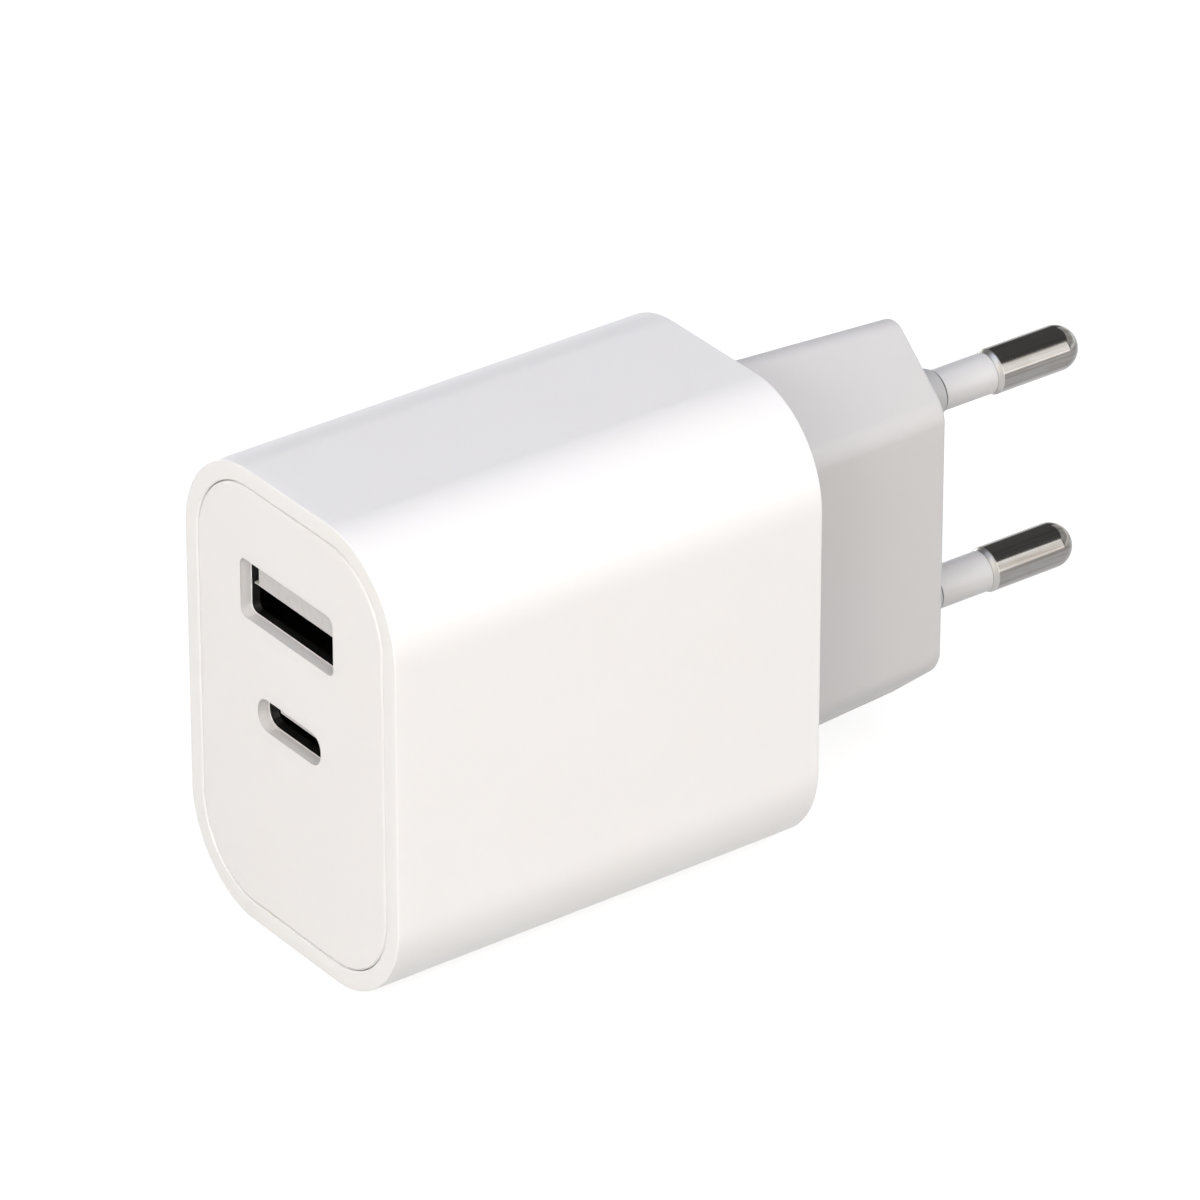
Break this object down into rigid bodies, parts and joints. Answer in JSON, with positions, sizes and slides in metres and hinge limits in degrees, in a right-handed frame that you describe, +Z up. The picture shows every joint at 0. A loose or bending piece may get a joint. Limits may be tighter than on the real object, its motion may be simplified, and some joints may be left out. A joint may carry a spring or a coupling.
{
  "type": "usb wall charger",
  "caption": "White wall charger block with a USB-A port above a USB-C port, a tapered plug nose and a fixed two-pin mains plug.",
  "frame": {"origin": "centre of the plug nose's flat end face, halfway between the two pins", "axes": "+Y along the pins, away from the ports; +Z up, from the lower pin towards the upper pin; +X to the right when the ports are looked at"},
  "size_m": [0.0292, 0.0802, 0.0422],
  "materials": {
    "housing_white": "satin moulded",
    "face_plate_white": "satin moulded",
    "nose_white": "satin moulded",
    "sleeve_white": "satin moulded",
    "pin_nickel": "nickel plated, polished",
    "spring_bronze": "rolled strip",
    "port_shell_steel": "drawn sheet, dark inside",
    "tongue_plastic": "moulded",
    "contact_gold": "gold plated",
    "board_laminate": "solder mask",
    "ferrite_core": "ground ferrite",
    "bobbin_black": "moulded",
    "winding_tape": "polyester tape",
    "enamelled_copper": "enamelled wire",
    "capacitor_can": "drawn can",
    "film_case": "moulded case",
    "disc_coat": "dipped coating",
    "fuse_ceramic": "ceramic tube",
    "chip_epoxy": "moulded epoxy",
    "pad_silicone": "soft pad",
    "spreader_aluminium": "rolled sheet",
    "insulation_film": "polyester film"
  },
  "bodies": {
    "root": {"housing_shell": "housing_white", "face_plate": "face_plate_white", "plug_nose": "nose_white", "upper_pin": "pin_nickel", "lower_pin": "pin_nickel", "upper_pin_sleeve": "sleeve_white", "lower_pin_sleeve": "sleeve_white", "upper_contact_leaf": "spring_bronze", "lower_contact_leaf": "spring_bronze", "usb_a_shell": "port_shell_steel", "usb_a_insulator": "tongue_plastic", "usb_c_shell": "port_shell_steel", "usb_c_insulator": "tongue_plastic", "port_board": "board_laminate", "input_board": "board_laminate", "main_board": "board_laminate", "transformer_core_lower": "ferrite_core", "transformer_core_upper": "ferrite_core", "transformer_bobbin": "bobbin_black", "transformer_winding": "winding_tape", "bulk_capacitor_1": "capacitor_can", "bulk_capacitor_2": "capacitor_can", "output_capacitor_1": "capacitor_can", "output_capacitor_2": "capacitor_can", "x_capacitor": "film_case", "y_capacitor": "disc_coat", "choke_core": "ferrite_core", "choke_winding_right": "enamelled_copper", "choke_winding_left": "enamelled_copper", "fuse": "fuse_ceramic", "bridge_rectifier": "chip_epoxy", "controller_chip": "chip_epoxy", "primary_switch": "chip_epoxy", "optocoupler": "chip_epoxy", "synchronous_rectifier": "chip_epoxy", "port_controller_chip": "chip_epoxy", "thermal_pad": "pad_silicone", "heat_spreader": "spreader_aluminium", "insulation_wrap": "insulation_film", "usb_a_contact_1": "contact_gold", "usb_a_contact_2": "contact_gold", "usb_a_contact_3": "contact_gold", "usb_a_contact_4": "contact_gold", "usb_c_contact_1": "contact_gold", "usb_c_contact_2": "contact_gold", "usb_c_contact_3": "contact_gold", "usb_c_contact_4": "contact_gold", "usb_c_contact_5": "contact_gold", "usb_c_contact_6": "contact_gold"}
  },
  "joints": []
}
